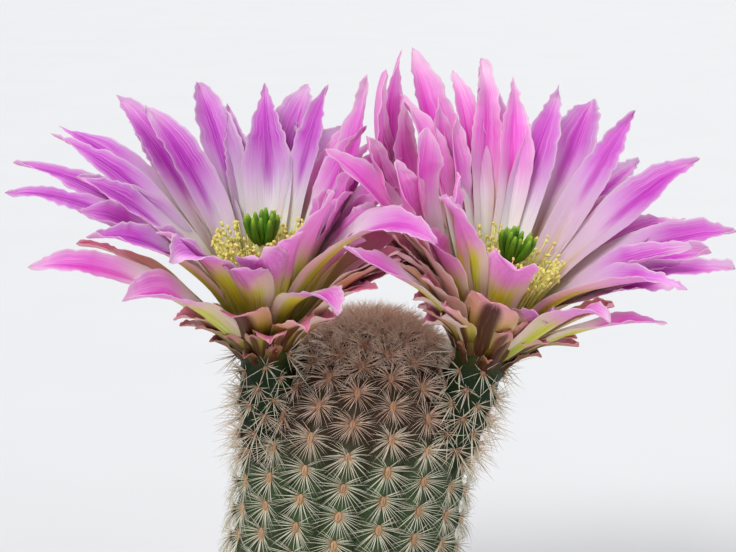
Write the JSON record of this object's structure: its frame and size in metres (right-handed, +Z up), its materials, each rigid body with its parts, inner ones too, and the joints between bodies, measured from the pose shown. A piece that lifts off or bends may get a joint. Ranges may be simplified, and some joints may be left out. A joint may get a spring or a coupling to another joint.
{
  "type": "hedgehog cactus",
  "caption": "Hedgehog cactus in bloom: a leaning, ribbed, spiny stem cut flat at the foot, with wide pink flowers on spiny tubes at its shoulders. A standing plant for display.",
  "frame": {"origin": "centre of the flat cut foot of the stem, on the surface it stands on", "axes": "+Z up, out of the foot towards the crown; +X to the right, along the line of the flowers, the way the stem leans; -Y to the front, towards which the flowers nod"},
  "size_m": [0.1684, 0.0836, 0.1585],
  "materials": {
    "stem": "waxy grey-green skin under cream spines",
    "flower_tube": "dark olive tube, brown-pink sepals, white spines",
    "petals": "silky translucent petals, magenta to white to green at the throat",
    "stamens": "matt pale yellow pollen",
    "pistil": "satin, velvety dark green lobes"
  },
  "bodies": {
    "root": {"stem": "stem", "left_flower_tube": "flower_tube", "left_flower_petals": "petals", "left_flower_stamens": "stamens", "left_flower_pistil": "pistil", "right_flower_tube": "flower_tube", "right_flower_petals": "petals", "right_flower_stamens": "stamens", "right_flower_pistil": "pistil"}
  },
  "joints": []
}
